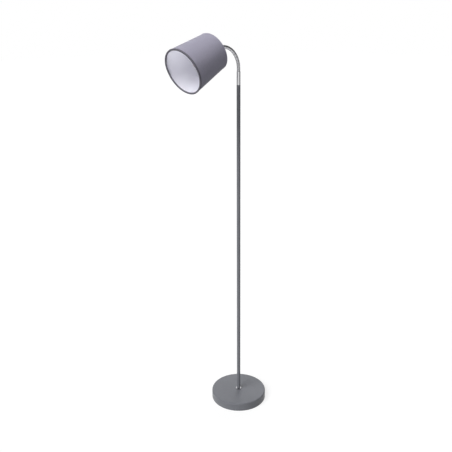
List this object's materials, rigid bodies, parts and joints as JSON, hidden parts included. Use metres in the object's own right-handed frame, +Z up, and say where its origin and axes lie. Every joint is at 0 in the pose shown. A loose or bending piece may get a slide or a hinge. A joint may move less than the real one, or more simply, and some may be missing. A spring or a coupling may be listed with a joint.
{
  "type": "gooseneck floor lamp",
  "caption": "Floor lamp: round weighted base, slim straight pole, flexible ribbed neck and conical fabric shade that opens to the side.",
  "frame": {"origin": "on the floor under the pole, at the centre of the base pad's underside", "axes": "+Z up along the pole; -X is the way the neck leans and the shade opens; +X faces the cord inlet in the back of the base"},
  "size_m": [0.4332, 0.24, 1.5769],
  "materials": {
    "painted_steel": "satin",
    "bright_chrome": "polished",
    "neck_steel": "polished",
    "zinc_steel": "satin",
    "cast_stone": "matte",
    "foam_rubber": "matte",
    "rubber": "matte",
    "white_moulding": "satin",
    "white_ceramic": "satin",
    "brass": "satin",
    "white_wire": "satin",
    "grey_cloth": "matte",
    "white_lining": "satin",
    "hem_tape": "matte",
    "opal": "satin"
  },
  "bodies": {
    "stand": {"base_cover": "painted_steel", "base_weight": "cast_stone", "base_plate": "zinc_steel", "base_pad": "foam_rubber", "cord_grommet": "rubber", "base_stud": "zinc_steel", "base_washer": "zinc_steel", "base_lock_washer": "zinc_steel", "base_nut": "zinc_steel", "foot_collar": "bright_chrome", "pole_lower": "painted_steel", "pole_middle": "painted_steel", "pole_upper": "painted_steel", "pole_foot_insert": "zinc_steel", "pole_joint_lower": "zinc_steel", "pole_joint_upper": "zinc_steel", "pole_top_plug": "zinc_steel"},
    "neck_base": {"neck_ferrule": "bright_chrome", "ferrule_set_screw": "zinc_steel", "neck_foot": "neck_steel"},
    "neck_link_01": {"neck_link_01": "neck_steel"},
    "neck_link_02": {"neck_link_02": "neck_steel"},
    "neck_link_03": {"neck_link_03": "neck_steel"},
    "neck_link_04": {"neck_link_04": "neck_steel"},
    "neck_link_05": {"neck_link_05": "neck_steel"},
    "neck_link_06": {"neck_link_06": "neck_steel"},
    "neck_link_07": {"neck_link_07": "neck_steel"},
    "neck_link_08": {"neck_link_08": "neck_steel"},
    "neck_link_09": {"neck_link_09": "neck_steel"},
    "neck_link_10": {"neck_link_10": "neck_steel"},
    "neck_link_11": {"neck_link_11": "neck_steel"},
    "head": {"neck_tip": "neck_steel", "neck_end_bush": "bright_chrome", "holder_cap": "white_moulding", "holder_body": "white_moulding", "holder_core": "white_ceramic", "holder_screw_shell": "brass", "holder_contact": "brass", "holder_terminal_screws": "brass", "shade_clamp_ring": "white_moulding", "shade_spider": "white_wire", "shade_opening_ring": "white_wire", "shade_fabric": "grey_cloth", "shade_lining": "white_lining", "opening_hem": "hem_tape", "narrow_hem": "grey_cloth", "bulb_cap": "zinc_steel", "bulb_contact": "brass", "bulb_body": "white_moulding", "bulb_globe": "opal"}
  },
  "joints": [
    {"name": "neck_swivel", "type": "hinge", "parent": "stand", "child": "neck_base", "pos_m": [0, 0, 1.386], "axis": [0, 0, 1], "range_deg": [-170, 170]},
    {"name": "neck_bend_01", "type": "hinge", "parent": "neck_base", "child": "neck_link_01", "pos_m": [0, 0, 1.4536], "axis": [0, -1, 0], "range_deg": [-9.5, 4.5]},
    {"name": "neck_bend_02", "type": "hinge", "parent": "neck_link_01", "child": "neck_link_02", "pos_m": [-0.00221, 0, 1.46682], "axis": [0, -1, 0], "range_deg": [-9.5, 4.5]},
    {"name": "neck_bend_03", "type": "hinge", "parent": "neck_link_02", "child": "neck_link_03", "pos_m": [-0.00657, 0, 1.47949], "axis": [0, -1, 0], "range_deg": [-9.5, 4.5]},
    {"name": "neck_bend_04", "type": "hinge", "parent": "neck_link_03", "child": "neck_link_04", "pos_m": [-0.01297, 0, 1.49126], "axis": [0, -1, 0], "range_deg": [-9.5, 4.5]},
    {"name": "neck_bend_05", "type": "hinge", "parent": "neck_link_04", "child": "neck_link_05", "pos_m": [-0.02122, 0, 1.50182], "axis": [0, -1, 0], "range_deg": [-9.5, 4.5]},
    {"name": "neck_bend_06", "type": "hinge", "parent": "neck_link_05", "child": "neck_link_06", "pos_m": [-0.0311, 0, 1.51087], "axis": [0, -1, 0], "range_deg": [-9.5, 4.5]},
    {"name": "neck_bend_07", "type": "hinge", "parent": "neck_link_06", "child": "neck_link_07", "pos_m": [-0.04234, 0, 1.51817], "axis": [0, -1, 0], "range_deg": [-9.5, 4.5]},
    {"name": "neck_bend_08", "type": "hinge", "parent": "neck_link_07", "child": "neck_link_08", "pos_m": [-0.05462, 0, 1.52352], "axis": [0, -1, 0], "range_deg": [-9.5, 4.5]},
    {"name": "neck_bend_09", "type": "hinge", "parent": "neck_link_08", "child": "neck_link_09", "pos_m": [-0.06763, 0, 1.52676], "axis": [0, -1, 0], "range_deg": [-9.5, 4.5]},
    {"name": "neck_bend_10", "type": "hinge", "parent": "neck_link_09", "child": "neck_link_10", "pos_m": [-0.08099, 0, 1.52781], "axis": [0, -1, 0], "range_deg": [-9.5, 4.5]},
    {"name": "neck_bend_11", "type": "hinge", "parent": "neck_link_10", "child": "neck_link_11", "pos_m": [-0.09433, 0, 1.52664], "axis": [0, -1, 0], "range_deg": [-9.5, 4.5]},
    {"name": "neck_bend_12", "type": "hinge", "parent": "neck_link_11", "child": "head", "pos_m": [-0.10731, 0, 1.52329], "axis": [0, -1, 0], "range_deg": [-9.5, 4.5]}
  ],
  "couplings": [
    {"joint": "neck_bend_02", "follows": "neck_bend_01", "ratio": 1},
    {"joint": "neck_bend_03", "follows": "neck_bend_01", "ratio": 1},
    {"joint": "neck_bend_04", "follows": "neck_bend_01", "ratio": 1},
    {"joint": "neck_bend_05", "follows": "neck_bend_01", "ratio": 1},
    {"joint": "neck_bend_06", "follows": "neck_bend_01", "ratio": 1},
    {"joint": "neck_bend_08", "follows": "neck_bend_07", "ratio": 1},
    {"joint": "neck_bend_09", "follows": "neck_bend_07", "ratio": 1},
    {"joint": "neck_bend_10", "follows": "neck_bend_07", "ratio": 1},
    {"joint": "neck_bend_11", "follows": "neck_bend_07", "ratio": 1},
    {"joint": "neck_bend_12", "follows": "neck_bend_07", "ratio": 1}
  ]
}
